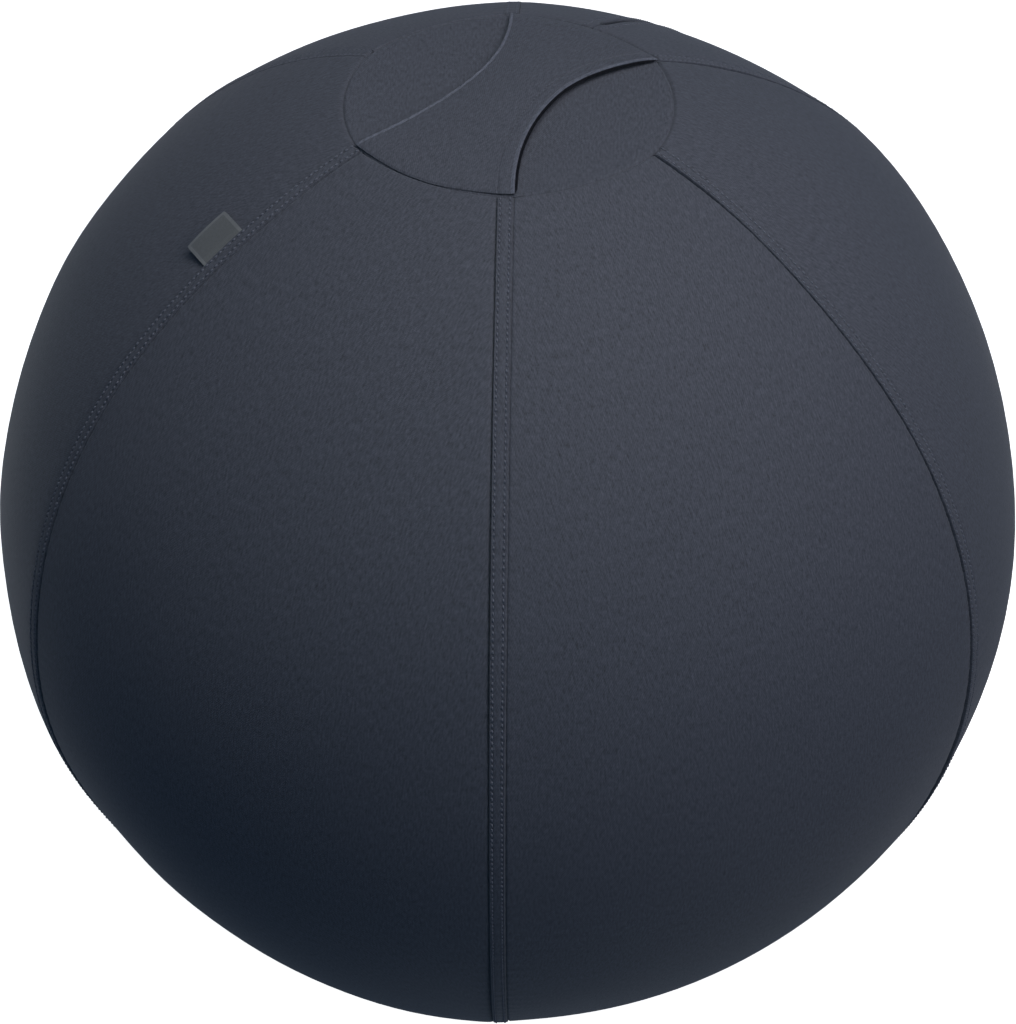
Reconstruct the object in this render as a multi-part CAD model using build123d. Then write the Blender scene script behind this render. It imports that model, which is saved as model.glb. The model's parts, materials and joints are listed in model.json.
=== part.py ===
from build123d import *
from math import asin, cos, degrees, radians, sin, sqrt
import os

# Sitting ball: a zipped fabric cover over an inflated inner ball, with a carry handle on top.
# Millimetres, +Z up. The origin is the middle of the flat patch that the ball stands on.
# The front seam of the cover faces -Y, and the middles of two panels face +X and -X.

# Cover
ball_diameter = 650.0  # across the middles of opposite panels
floor_patch_diameter = 124.0  # flat patch under the ball
cover_thickness = 1.4
panel_count = 6
seam_ridge = 3.5  # how far the seams stand out past the panel middles
seam_band_width = 9.0  # topstitched band along each seam
seam_band_height = 0.8
seam_gap = 0.3  # between pieces that are sewn together
layer_gap = 0.1  # between layers that lie on each other
running_gap = 0.3  # around everything that moves

# Discs at the two ends of the panels
seat_disc_diameter = 194.0
seat_disc_crown = 0.5  # rise of the disc in its middle
seat_disc_drop = 0.8  # edge of the disc under the edges of the panels
base_disc_diameter = 194.0

# Carry handle
handle_angle = 60.0  # direction of the strap, seen from above
handle_waist = 53.0  # width in the middle
handle_thickness = 1.6
handle_hem_width = 10.0
handle_hem_height = 0.4
finger_gap = 5.2  # free height under the middle of the strap

# Zip, in the middle of the panel at the rear end of the handle
zip_top_margin = 10.0  # from the edge of the seat disc to the upper end of the slot
zip_length = 520.0
zip_slot_width = 6.0
zip_tape_width = 14.0  # each tape, from the middle of the zip
zip_tape_thickness = 0.7
zip_tape_tail = 9.0  # past the ends of the slot
chain_gap = 1.2  # between the two chains, for the blade of the slider
chain_recess = 0.4  # chain under the face of the cover
stop_length = 4.0

# Slider and pull
slider_length = 13.0
slider_width = 9.0
slider_top_plate = 1.2
slider_bottom_plate = 0.7
slider_corner = 2.7  # radius
lug_thickness = 1.3
lug_rim = 0.9  # wall around the pin
pull_pin_diameter = 1.6
pin_clearance = 0.05  # on the radius
pull_length = 26.0
pull_width = 7.0
pull_thickness = 1.6
pull_corner = 2.9  # radius
pull_eye_width = 3.6
pull_eye_rim = 0.8
pull_hole_diameter = 3.2

# Inner ball, valve and weight
inner_ball_wall = 1.0
valve_angle = 52.0  # direction seen from above
valve_tilt = 75.0  # from straight up
valve_bore_diameter = 8.4
valve_sleeve_wall = 2.2
valve_sleeve_length = 12.0
valve_flange_diameter = 32.0
valve_flange_thickness = 2.4
plug_head_diameter = 18.0
plug_head_thickness = 1.2
plug_stem_length = 16.0
plug_clearance = 0.1  # on the radius
ballast_depth = 16.0

# Label
label_length = 30.0  # along the seam
label_reach = 18.0
label_layer = 0.5  # one layer of the folded ribbon
label_fold_gap = 0.2
label_tilt = 7.0  # lift of the free end from the cover
label_from_top = 34.3  # position along the seam, as an angle from straight up

# Modelling
cut_margin = 20.0  # extra length of shapes that are cut, or that cut, past the other shape
sweep_margin = 5.0  # degrees past the seams, cut off afterwards

# Derived sizes
ball_radius = ball_diameter / 2
center_height = sqrt(ball_radius**2 - (floor_patch_diameter / 2) ** 2)
half_panel = 180.0 / panel_count
ridge_radius = ball_radius + seam_ridge
set_back = (ridge_radius**2 - ball_radius**2) / (2 * (ball_radius - ridge_radius * cos(radians(half_panel))))
seat_radius = seat_disc_diameter / 2
base_radius = base_disc_diameter / 2
rim_height = center_height + sqrt(ball_radius**2 - seat_radius**2)
disc_edge_height = rim_height - seat_disc_drop
disc_crest_height = disc_edge_height + seat_disc_crown
panel_angles = [k * 2 * half_panel for k in range(panel_count)]
reach = 2 * ball_radius

tape_outer = ball_radius - cover_thickness - layer_gap - zip_tape_width**2 / (2 * ball_radius)
tape_inner = tape_outer - zip_tape_thickness
chain_outer = ball_radius - chain_recess
chain_inner = tape_outer + layer_gap
chain_half = zip_slot_width / 2 - running_gap
zip_top = degrees(asin(seat_radius / ball_radius) + zip_top_margin / ball_radius)
zip_bottom = zip_top + degrees(zip_length / ball_radius)
tail_angle = degrees(zip_tape_tail / ball_radius)
stop_angle = degrees(stop_length / ball_radius)
run_angle = degrees(running_gap / ball_radius)
slider_half_angle = degrees(slider_length / 2 / ball_radius)
slider_angle = zip_bottom - stop_angle - run_angle - slider_half_angle
slider_travel = slider_angle - (zip_top + stop_angle + run_angle + slider_half_angle)

plate_inner = ball_radius + running_gap
plate_outer = plate_inner + slider_top_plate
eye_radius = pull_pin_diameter / 2 + pin_clearance + pull_eye_rim
pin_radius_from_center = plate_outer + eye_radius + running_gap
lug_radius = pull_pin_diameter / 2 + lug_rim
lug_inner = pull_eye_width / 2 + running_gap
lug_outer = lug_inner + lug_thickness

inner_ball_radius = tape_inner - running_gap - slider_bottom_plate - running_gap
inner_wall_radius = inner_ball_radius - inner_ball_wall
ball_floor = cover_thickness + seam_gap
ball_ceiling = disc_edge_height - cover_thickness - seam_gap

flange_radius = valve_flange_diameter / 2
head_radius = plug_head_diameter / 2
bore_radius = valve_bore_diameter / 2
seat_face = sqrt(inner_wall_radius**2 - flange_radius**2) - layer_gap
plug_face = seat_face + layer_gap
plug_travel = ball_radius - cover_thickness - running_gap - plug_face - plug_head_thickness - plug_clearance

label_thickness = 2 * label_layer + label_fold_gap

ball_axis = Axis((0, 0, 0), (0, 0, 1))
zip_axis = Axis((0, 0, center_height), (0, 1, 0))


def face_of(points):
    return make_face(Polyline(*points, close=True))


def prism(points, height):
    # upright prism over a flat outline, from below the ball to above it
    outline = [(x, y, -height) for x, y in points]
    return extrude(face_of(outline), amount=2 * height, dir=(0, 0, 1))


def seam_frame(angle):
    along = Vector(cos(radians(angle)), sin(radians(angle)), 0)
    across = Vector(-sin(radians(angle)), cos(radians(angle)), 0)
    return along, across


def seam_points(angle, shift):
    # two points on a line beside the middle of a seam, one near the ball axis and one far out
    along, across = seam_frame(angle)
    near = along * (seat_radius / 2) + across * shift
    far = along * reach + across * shift
    return (near.X, near.Y), (far.X, far.Y)


def cover_shell(outer, inner):
    # shell between the two discs, swept about an axis set back behind the ball axis:
    # that flattens a panel across its width, so that the seams stand out
    top_x = seat_radius + seam_gap / 2
    low_x = base_radius + seam_gap / 2
    top_out = (top_x, 0, center_height + sqrt(outer**2 - top_x**2))
    low_out = (low_x, 0, center_height - sqrt(outer**2 - low_x**2))
    top_in = (top_x, 0, center_height + sqrt(inner**2 - top_x**2))
    low_in = (low_x, 0, center_height - sqrt(inner**2 - low_x**2))
    outer_arc = ThreePointArc(top_out, (outer, 0, center_height), low_out)
    inner_arc = ThreePointArc(low_in, (inner, 0, center_height), top_in)
    section = make_face([outer_arc, Line(low_out, low_in), inner_arc, Line(top_in, top_out)])
    axis = Axis((-set_back, 0, 0), (0, 0, 1))
    sweep = half_panel + sweep_margin
    return revolve(section.rotate(axis, -sweep), axis, 2 * sweep)


def panel():
    # one panel with its middle at +X, and the topstitched band on the seam where it starts
    edge = seam_band_width / 2
    start_near, start_far = seam_points(-half_panel, seam_gap / 2 - edge)
    end_near, end_far = seam_points(half_panel, -seam_gap / 2 - edge)
    band_near, band_far = seam_points(-half_panel, edge)
    inner = ball_radius - cover_thickness
    sheet = cover_shell(ball_radius, inner)
    sheet = sheet & prism([start_near, start_far, end_far, end_near], reach)
    band = cover_shell(ball_radius + seam_band_height, inner)
    band = band & prism([start_near, start_far, band_far, band_near], reach)
    return sheet + band


def disc_corner(radius):
    # distance from the ball axis to a corner of a disc, where two panels meet
    half = radians(half_panel)
    return sqrt((radius + set_back) ** 2 - (set_back * sin(half)) ** 2) - set_back * cos(half)


def disc_outline(radius):
    # round outline made of one arc per panel, with the same set-back middle as the panels
    corner = disc_corner(radius)
    arcs = []
    for angle in panel_angles:
        start = Vector(corner, 0, 0).rotate(ball_axis, angle - half_panel)
        middle = Vector(radius, 0, 0).rotate(ball_axis, angle)
        end = Vector(corner, 0, 0).rotate(ball_axis, angle + half_panel)
        arcs.append(ThreePointArc(start, middle, end))
    return make_face(arcs)


def disc_prism(radius):
    outline = Pos(0, 0, -reach) * disc_outline(radius)
    return extrude(outline, amount=2 * reach, dir=(0, 0, 1))


def seat_disc():
    # slightly domed disc
    wide = seat_radius + cut_margin
    dome = (seat_radius**2 + seat_disc_crown**2) / (2 * seat_disc_crown)

    def at(r, z):
        return (r, 0, z - dome + sqrt(dome**2 - r**2))

    top = disc_crest_height
    low = disc_crest_height - cover_thickness
    top_arc = ThreePointArc(at(0, top), at(wide / 2, top), at(wide, top))
    low_arc = ThreePointArc(at(wide, low), at(wide / 2, low), at(0, low))
    section = make_face([top_arc, Line(at(wide, top), at(wide, low)), low_arc, Line(at(0, low), at(0, top))])
    return revolve(section, ball_axis, 360) & disc_prism(seat_radius - seam_gap / 2)


def dish(radius, floor, wide):
    # half section points of a ball of the given radius with a flat floor, out to a given width
    flat = sqrt(radius**2 - (center_height - floor) ** 2)
    middle = (flat + wide) / 2
    return [
        (0, 0, floor),
        (flat, 0, floor),
        (middle, 0, center_height - sqrt(radius**2 - middle**2)),
        (wide, 0, center_height - sqrt(radius**2 - wide**2)),
    ]


def base_disc():
    # lower disc: flat patch on the floor, then the round of the ball
    wide = base_radius + cut_margin
    out = dish(ball_radius, 0, wide)
    inn = dish(ball_radius - cover_thickness, cover_thickness, wide)
    edges = [
        Line(out[0], out[1]),
        ThreePointArc(out[1], out[2], out[3]),
        Line(out[3], inn[3]),
        ThreePointArc(inn[3], inn[2], inn[1]),
        Line(inn[1], inn[0]),
        Line(inn[0], out[0]),
    ]
    return revolve(make_face(edges), ball_axis, 360) & disc_prism(base_radius - seam_gap / 2)


def strap_prism(waist_half, corner_half):
    # hourglass outline along X, longer than the disc
    far = disc_corner(seat_radius) * cos(radians(half_panel))
    over = seat_radius + cut_margin
    slope = 2 * (corner_half - waist_half) / far
    tip = corner_half + slope * (over - far)
    right = ThreePointArc((-far, -corner_half, -reach), (0, -waist_half, -reach), (far, -corner_half, -reach))
    left = ThreePointArc((far, corner_half, -reach), (0, waist_half, -reach), (-far, corner_half, -reach))
    ends = [
        Line((far, -corner_half, -reach), (over, -tip, -reach)),
        Line((over, -tip, -reach), (over, tip, -reach)),
        Line((over, tip, -reach), (far, corner_half, -reach)),
        Line((-far, corner_half, -reach), (-over, tip, -reach)),
        Line((-over, tip, -reach), (-over, -tip, -reach)),
        Line((-over, -tip, -reach), (-far, -corner_half, -reach)),
    ]
    return extrude(make_face([right, left] + ends), amount=2 * reach, dir=(0, 0, 1))


def strap_layer(low, high):
    # arched layer along X, between two heights over the underside of the strap
    end = disc_edge_height + layer_gap
    crest = disc_crest_height + finger_gap
    wide = seat_radius
    low_arc = ThreePointArc((-wide, 0, end + low), (0, 0, crest + low), (wide, 0, end + low))
    high_arc = ThreePointArc((wide, 0, end + high), (0, 0, crest + high), (-wide, 0, end + high))
    sides = [
        Line((wide, 0, end + low), (wide, 0, end + high)),
        Line((-wide, 0, end + high), (-wide, 0, end + low)),
    ]
    section = make_face([low_arc, high_arc] + sides)
    return extrude(section, amount=seat_radius, dir=(0, 1, 0), both=True)


def carry_handle():
    # strap from one side of the seat disc to the other, with a thicker hem on both long edges
    waist = handle_waist / 2
    corner = disc_corner(seat_radius - seam_gap) * sin(radians(half_panel))
    round_end = disc_prism(seat_radius - seam_gap / 2)
    full = strap_prism(waist, corner)
    middle = strap_prism(waist - handle_hem_width, corner - handle_hem_width)
    strap = strap_layer(0, handle_thickness) & full
    hems = strap_layer(0, handle_thickness + handle_hem_height) & full
    hems = hems - middle
    strap = (strap + hems) & (Rot(0, 0, -handle_angle) * round_end)
    return Rot(0, 0, handle_angle) * strap


def zip_strip(points, start, end):
    # cross-section points (distance from the ball middle, sideways) swept along the zip
    section = face_of([(r, side, center_height) for r, side in points])
    return revolve(section.rotate(zip_axis, start - 90), zip_axis, end - start)


def rectangle(low, high, left, right):
    return [(low, left), (high, left), (high, right), (low, right)]


def on_zip(shape):
    return Rot(0, 0, handle_angle) * shape


def zip_panel_half(side):
    # half of the panel with the zip; side is +1 or -1
    half = zip_slot_width / 2
    slot = zip_strip(rectangle(ball_radius - cut_margin, ball_radius + cut_margin, -half, half), zip_top, zip_bottom)
    keep = Pos(0, side * (reach + seam_gap / 2), center_height) * Box(2 * reach, 2 * reach, 2 * reach)
    return on_zip((panel() - slot) & keep)


def zip_tape(side):
    points = rectangle(tape_inner, tape_outer, side * chain_gap / 2, side * zip_tape_width)
    return on_zip(zip_strip(points, zip_top - tail_angle / 2, zip_bottom + tail_angle))


def zip_chain(side):
    points = rectangle(chain_inner, chain_outer, side * chain_gap / 2, side * chain_half)
    return on_zip(zip_strip(points, zip_top + stop_angle, zip_bottom - stop_angle))


def zip_upper_stop():
    points = rectangle(chain_inner, chain_outer, -chain_half, chain_half)
    return on_zip(zip_strip(points, zip_top + run_angle, zip_top + stop_angle - run_angle / 2))


def zip_lower_stops():
    left = rectangle(chain_inner, chain_outer, -chain_half, -chain_gap / 2)
    right = rectangle(chain_inner, chain_outer, chain_gap / 2, chain_half)
    start = zip_bottom - stop_angle + run_angle / 2
    end = zip_bottom - run_angle
    pair = [zip_strip(left, start, end), zip_strip(right, start, end)]
    return on_zip(Compound(children=[Compound(part.wrapped) for part in pair]))


def at_slider(shape):
    # from the height of the ball middle to the resting place of the slider
    return on_zip(shape.rotate(zip_axis, slider_angle - 90))


def pin_at(length, radius):
    bar = Rot(90, 0, 0) * Cylinder(radius, length)
    return Pos(pin_radius_from_center, 0, center_height) * bar


def zip_slider():
    # two plates joined by a thin blade between the chains, and two lugs for the pin of the pull
    half = slider_width / 2
    blade = chain_gap / 2 - running_gap
    low = tape_inner - running_gap - slider_bottom_plate
    first, last = 90 - slider_half_angle, 90 + slider_half_angle
    body = zip_strip(rectangle(plate_inner, plate_outer, -half, half), first, last)
    body += zip_strip(rectangle(low, low + slider_bottom_plate, -half, half), first, last)
    body += zip_strip(rectangle(low, plate_outer, -blade, blade), first, last)
    outline = extrude(RectangleRounded(slider_length, slider_width, slider_corner), cut_margin, both=True)
    body = body & (Pos(ball_radius, 0, center_height) * Rot(0, 90, 0) * outline)
    for side in (1, -1):
        middle = side * (lug_inner + lug_outer) / 2
        foot_height = pin_radius_from_center - plate_inner
        foot = Box(foot_height, lug_thickness, 2 * lug_radius)
        body += Pos(plate_inner + foot_height / 2, middle, center_height) * foot
        head = Rot(90, 0, 0) * Cylinder(lug_radius, lug_thickness)
        body += Pos(pin_radius_from_center, middle, center_height) * head
    body = body - pin_at(4 * lug_outer, pull_pin_diameter / 2 + pin_clearance / 2)
    return at_slider(body)


def zip_pull_pin():
    return at_slider(pin_at(2 * lug_outer, pull_pin_diameter / 2))


def zip_pull():
    # flat pull on the pin, hanging straight down
    neck_end = -(lug_radius + running_gap + pull_thickness)
    eye = Rot(90, 0, 0) * Cylinder(eye_radius, pull_eye_width)
    neck_length = pull_thickness - neck_end
    neck = Pos(0, 0, -neck_length / 2) * Box(pull_thickness, pull_eye_width, neck_length)
    blade = RectangleRounded(pull_length + neck_end, pull_width, pull_corner)
    blade = extrude(blade, pull_thickness / 2, both=True)
    blade = Pos(0, 0, (neck_end - pull_length) / 2) * (Rot(0, 90, 0) * blade)
    hole = Rot(0, 90, 0) * Cylinder(pull_hole_diameter / 2, 4 * pull_thickness)
    pull = eye + neck + blade - Pos(0, 0, pull_width / 2 - pull_length) * hole
    pull = pull - Rot(90, 0, 0) * Cylinder(pull_pin_diameter / 2 + pin_clearance, 4 * pull_width)
    place = Vector(pin_radius_from_center, 0, 0).rotate(Axis((0, 0, 0), (0, 1, 0)), slider_angle - 90)
    return on_zip(Pos(place.X, 0, center_height + place.Z) * pull)


def pressed_ball(radius, floor, ceiling):
    # ball pressed flat at its bottom and its top
    low = sqrt(radius**2 - (center_height - floor) ** 2)
    high = sqrt(radius**2 - (ceiling - center_height) ** 2)
    level = (floor + ceiling) / 2
    side = sqrt(radius**2 - (level - center_height) ** 2)
    edges = [
        Line((0, 0, floor), (low, 0, floor)),
        ThreePointArc((low, 0, floor), (side, 0, level), (high, 0, ceiling)),
        Line((high, 0, ceiling), (0, 0, ceiling)),
        Line((0, 0, ceiling), (0, 0, floor)),
    ]
    return revolve(make_face(edges), ball_axis, 360)


def valve_plane(distance):
    # plane across the valve at a distance from the middle of the ball, facing out
    tilt, turn = radians(valve_tilt), radians(valve_angle)
    out = Vector(sin(tilt) * cos(turn), sin(tilt) * sin(turn), cos(tilt))
    return Plane(origin=Vector(0, 0, center_height) + out * distance, z_dir=out)


def rod(distance, length, radius):
    # round bar along the valve, from a distance from the ball middle inwards
    return valve_plane(distance - length / 2) * Cylinder(radius, length)


def inner_ball():
    shell = pressed_ball(inner_ball_radius, ball_floor, ball_ceiling)
    hollow = pressed_ball(inner_wall_radius, ball_floor + inner_ball_wall, ball_ceiling - inner_ball_wall)
    return shell - hollow - rod(inner_ball_radius + cut_margin, 2 * cut_margin, head_radius + running_gap)


def valve_seat():
    seat = rod(seat_face, valve_flange_thickness, flange_radius)
    seat += rod(seat_face - valve_flange_thickness / 2, valve_sleeve_length, bore_radius + valve_sleeve_wall)
    return seat - rod(seat_face + cut_margin, valve_sleeve_length + 2 * cut_margin, bore_radius)


def valve_plug():
    stem = rod(plug_face + plug_head_thickness / 2, plug_stem_length, bore_radius - plug_clearance)
    head = rod(plug_face + plug_head_thickness, plug_head_thickness, head_radius)
    return head + stem


def ballast_sand():
    radius = inner_wall_radius - layer_gap
    floor = ball_floor + inner_ball_wall + layer_gap
    return pressed_ball(radius, floor, floor + ballast_depth)


def label_hinge():
    # where the label turns and its directions, beside the seam at the end of a panel with its middle at +X
    polar = radians(label_from_top)
    half = radians(half_panel)
    arm = set_back + ball_radius * sin(polar)
    edge = (seam_band_width + seam_gap) / 2
    turn = half - asin((set_back * sin(half) + edge) / arm)
    root = Vector(arm * cos(turn) - set_back, arm * sin(turn), center_height + ball_radius * cos(polar))
    out = Vector(sin(polar) * cos(turn), sin(polar) * sin(turn), cos(polar))
    across = seam_frame(half_panel)[1]
    away = (out * out.dot(across) - across).normalized()
    rise = label_thickness / 2 + running_gap
    return root + (out + away) * rise, out, away


def label_tab():
    # folded ribbon: two layers joined at the free end, and a rolled edge that turns beside the seam
    spot, out, away = label_hinge()
    outer = Box(label_reach, label_length, label_thickness)
    inner = Pos(-label_layer, 0, 0) * Box(label_reach, 2 * label_length, label_fold_gap)
    roll = Rot(90, 0, 0) * Cylinder(label_thickness / 2, label_length)
    ribbon = Pos(label_reach / 2, 0, 0) * (outer - inner) + roll
    ribbon = Rot(0, -label_tilt, 0) * ribbon
    return Rot(0, 0, 180) * (Plane(origin=spot, x_dir=away, z_dir=out) * ribbon)


pieces = {
    "panel_right": panel(),
    "panel_zip_right": zip_panel_half(-1),
    "panel_zip_rear": zip_panel_half(1),
    "panel_rear_left": Rot(0, 0, 120) * panel(),
    "panel_left": Rot(0, 0, 180) * panel(),
    "panel_front_left": Rot(0, 0, 240) * panel(),
    "panel_front_right": Rot(0, 0, 300) * panel(),
    "seat_disc": seat_disc(),
    "base_disc": base_disc(),
    "carry_handle": carry_handle(),
    "label_tab": label_tab(),
    "zip_tape_right": zip_tape(-1),
    "zip_tape_rear": zip_tape(1),
    "zip_chain_right": zip_chain(-1),
    "zip_chain_rear": zip_chain(1),
    "zip_upper_stop": zip_upper_stop(),
    "zip_lower_stops": zip_lower_stops(),
    "zip_slider": zip_slider(),
    "zip_pull_pin": zip_pull_pin(),
    "zip_pull": zip_pull(),
    "inner_ball": inner_ball(),
    "valve_seat": valve_seat(),
    "valve_plug": valve_plug(),
    "ballast_sand": ballast_sand(),
}

os.makedirs("parts", exist_ok=True)
for name, shape in pieces.items():
    shape.label = name
    export_step(shape, os.path.join("parts", name + ".step"))
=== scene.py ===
import json
import math

import bmesh
import bpy
import numpy as np
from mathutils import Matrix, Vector


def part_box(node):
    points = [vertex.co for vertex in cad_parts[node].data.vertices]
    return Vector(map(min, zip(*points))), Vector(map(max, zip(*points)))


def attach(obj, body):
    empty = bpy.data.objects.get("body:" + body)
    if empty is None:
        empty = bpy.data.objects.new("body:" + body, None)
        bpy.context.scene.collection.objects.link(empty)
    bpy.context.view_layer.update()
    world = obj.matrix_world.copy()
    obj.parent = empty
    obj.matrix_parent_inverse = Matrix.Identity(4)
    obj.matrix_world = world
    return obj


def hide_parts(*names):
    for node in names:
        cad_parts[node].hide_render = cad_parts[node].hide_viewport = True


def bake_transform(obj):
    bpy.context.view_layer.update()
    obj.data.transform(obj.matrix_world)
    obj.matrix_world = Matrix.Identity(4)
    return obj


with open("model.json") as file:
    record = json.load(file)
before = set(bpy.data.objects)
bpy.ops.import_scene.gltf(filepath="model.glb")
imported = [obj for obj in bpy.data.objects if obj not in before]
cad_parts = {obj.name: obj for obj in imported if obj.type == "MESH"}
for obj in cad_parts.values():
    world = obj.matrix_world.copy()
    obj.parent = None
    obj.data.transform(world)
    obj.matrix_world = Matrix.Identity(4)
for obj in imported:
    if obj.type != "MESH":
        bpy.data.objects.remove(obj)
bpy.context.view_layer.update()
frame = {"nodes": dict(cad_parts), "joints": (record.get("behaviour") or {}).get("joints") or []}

# Sitting ball: six fabric panels and two discs sewn over an inner ball, with a strap, a zip and a label.
# Metres, +Z up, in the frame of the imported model.

joints = {joint["name"]: joint for joint in frame["joints"]}
MM = 0.001

# Cover
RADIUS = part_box("panel_right")[1].x
CENTER = joints["zip_run"]["pos_m"][2]
PANELS = 6
HALF_PANEL = math.pi / PANELS
SEAM_RIDGE = 3.5 * MM
SEAM_GAP = 0.3 * MM
RIDGE_RADIUS = RADIUS + SEAM_RIDGE
SET_BACK = (RIDGE_RADIUS**2 - RADIUS**2) / (2 * (RADIUS - RIDGE_RADIUS * math.cos(HALF_PANEL)))
RIM_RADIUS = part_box("seat_disc")[1].x + SEAM_GAP / 2
BASE_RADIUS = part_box("base_disc")[1].x + SEAM_GAP / 2
RIM_TURN = math.asin((RIM_RADIUS + SEAM_GAP / 2) / RADIUS)
BASE_TURN = math.pi - math.asin((BASE_RADIUS + SEAM_GAP / 2) / RADIUS)
PANEL_LENGTH = RADIUS * (BASE_TURN - RIM_TURN)
CLOTH = 1.2 * MM
EDGE_CLOTH = 2.0 * MM  # along the edges, where it is folded
EDGE_FOLD = 4.0 * MM  # how far the folded edges at the discs reach in
INNER_COLUMNS = 9

# Topstitched band along each seam, and its stitches
BAND_WIDTH = 9.0 * MM
BAND_HEIGHT = 0.6 * MM
BAND_EDGE = BAND_WIDTH / 2
ROW_INSET = 1.75 * MM
STITCH_ROWS = (ROW_INSET, BAND_WIDTH - ROW_INSET)
STITCH_COUNT = 230
STITCH_PITCH = PANEL_LENGTH / STITCH_COUNT
STITCH = (2.3 * MM, 1.15 * MM, 0.65 * MM)  # length, width and height
STITCH_LIFT = 0.05 * MM
STITCH_AHEAD = 0.5 * MM  # the direction of a stitch is taken over this distance
STITCH_DENT = 0.6 * MM  # half width of the dent along a row of stitches
SEAM_OPEN = (0.22, 0.05, 0.05, 0.05, 0.15, 1.0)  # how far the fold at the start of each panel stands open
SEAM_RAISE = (1.0, 0.5, 0.2, 0.25, 1.0, 1.0)  # share of the band's height at each of these seams

# How deep a row of stitches pulls the cloth in: along a stitch, and more at its ends
BAND_PULL = (0.15 * MM, 0.45 * MM)
LIP_PULL = (0.2 * MM, 0.3 * MM)
TUCKED_PULL = (0.5, 0.5)  # shares of the depth of the tucked edge

# Edges at a seam: the size where it lies closed, and what is added where it stands open
FOLD_RADIUS = (0.25 * MM, 0.35 * MM)
FOLD_DEPTH = (0.6 * MM, 0.9 * MM)
TUCKED_WIDTH = (0.35 * MM, 0.55 * MM)
TUCKED_DEPTH = (0.3 * MM, 0.5 * MM)

# Small waves of the cloth along a seam: height, spread beside the seam, pitch and phase
BAND_PUCKER = (0.12 * MM, 7 * MM, 2.7 * STITCH_PITCH, 0.0)
TUCKED_PUCKER = (0.10 * MM, 8 * MM, 3.3 * STITCH_PITCH, 1.0)

# Rises and dips of the cloth: place, spread and height
BAND_GROOVE = ((BAND_WIDTH + 0.45 * MM, 0.45 * MM, -0.65 * MM),)
TUCKED_DIP = ((0, 4 * MM, -0.25 * MM),)
PANEL_ENDS = ((0, 0.75 * MM, -1.5 * MM), (0, 3 * MM, -0.2 * MM))

# Zip, on the middle of the panel at the rear end of the strap
ZIP_ANGLE = math.radians(60)
ZIP_TOP = math.radians(19.13)
ZIP_BOTTOM = math.radians(110.80)
SLOT_HALF = 2.2 * MM
SLOT_TAPER = 6.0 * MM
ZIP_ROW_INSET = 5.5 * MM
ZIP_ROW_PAST = 10.0 * MM  # past the lower end of the slot
LIP_RISE = 0.35 * MM
LIP_WIDTH = 11.0 * MM
LIP_RADIUS = 1.0 * MM
LIP_DEPTH = 1.9 * MM
TAPE_LOW = 322.55 * MM  # its two faces, from the ball's middle
TAPE_HIGH = 323.15 * MM
TAPE_ABOVE = 0.0138  # past the upper end of the slot, as an angle
TAPE_BELOW = 0.0276
TAPE_ACROSS = np.array([0.7, 1.5, 2.6, 3.6, 6, 9, 13.9]) * MM
TAPE_ROWS = 330
TOOTH_PITCH = 2.6 * MM
TEETH_INSET = 0.0125  # from the ends of the slot, as an angle
TEETH_SHIFT = {-1: 0.05, 1: 0.5}  # start of the two rows, which mesh, in teeth
# half of a tooth's outline from foot to head: across from the middle of the zip, and along it
TOOTH_HALF = np.array([(2.7, 0.55), (1.7, 0.5), (1.35, 0.42), (1.0, 0.62), (0.62, 0.55), (0.42, 0.2)]) * MM
TOOTH_LAYERS = (  # distance from the ball's middle, and share of the tooth's outline
    (323.30 * MM, 1.0),
    (324.25 * MM, 1.0),
    (324.55 * MM, 0.72),
)

# Places where the blown-up cover stands out of the round or falls short of it: direction around and above
# the ball's middle in degrees, how far the place spreads in degrees, and by how much
UNEVEN = (
    (24, 39, 13, 3.8 * MM),
    (92, 58, 8, -1.4 * MM),
    (120, 56, 10, -0.9 * MM),
    (218, -23, 14, -3.3 * MM),
    (255, -41, 10, 1.6 * MM),
    (-31, -17, 16, -2.4 * MM),
    (-2, 13, 12, -1.4 * MM),
)
WAVES = (  # slow waves of the cloth: length along and across the panel, and height
    (310 * MM, 170 * MM, 0.30 * MM),
    (190 * MM, 260 * MM, 0.22 * MM),
    (110 * MM, 130 * MM, 0.10 * MM),
)
WAVE_SHIFT = (1.7, 2.1)  # phase from panel to panel, and from wave to wave

# Seams that bow sideways: the seam at the start of which panel, place along it from straight up and
# spread in degrees, and by how much
SEAM_BOWS = (
    (0, 41, 18, -5.6 * MM),
    (3, 32, 18, -6.0 * MM),
    (4, 33, 17, 5.0 * MM),
)
BOW_REACH = math.radians(14)  # how far the cloth follows on each side

# Strap
STRAP_ANGLE = ZIP_ANGLE
STRAP_CORNER_REACH = 86.5 * MM
# half width at the waist, place of the waist towards the rear, half width at the front and at the rear
STRAP_EDGES = {
    "left": (28.8 * MM, 10.0 * MM, 50.9 * MM, 51.7 * MM),
    "right": (24.4 * MM, 15.0 * MM, 56.4 * MM, 55.3 * MM),
}
STRAP_THICKNESS = 1.6 * MM
HEM_WIDTH = 10.0 * MM
HEM_HEIGHT = 0.4 * MM
HEM_ROW = 8.8 * MM  # the hem's stitches, from the right edge
HEM_ROW_END = 78.0 * MM  # last stitch, from the middle of the strap
HEM_REACH = 88.0 * MM  # end of the hem in the seam
HEM_STITCH = (2.4 * MM, 0.8 * MM, 0.4 * MM)
STRAP_SAG = 2.0 * MM  # how far its edges hang below its middle line
SAG_REACH = 14.0 * MM  # from an edge
STRAP_RADIUS = 0.8 * MM  # of its rounded edges
STRAP_ROLL = 0.75 * MM  # their depth
STRAP_SEAM = 0.4 * MM  # gap to the panels at its ends
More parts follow.
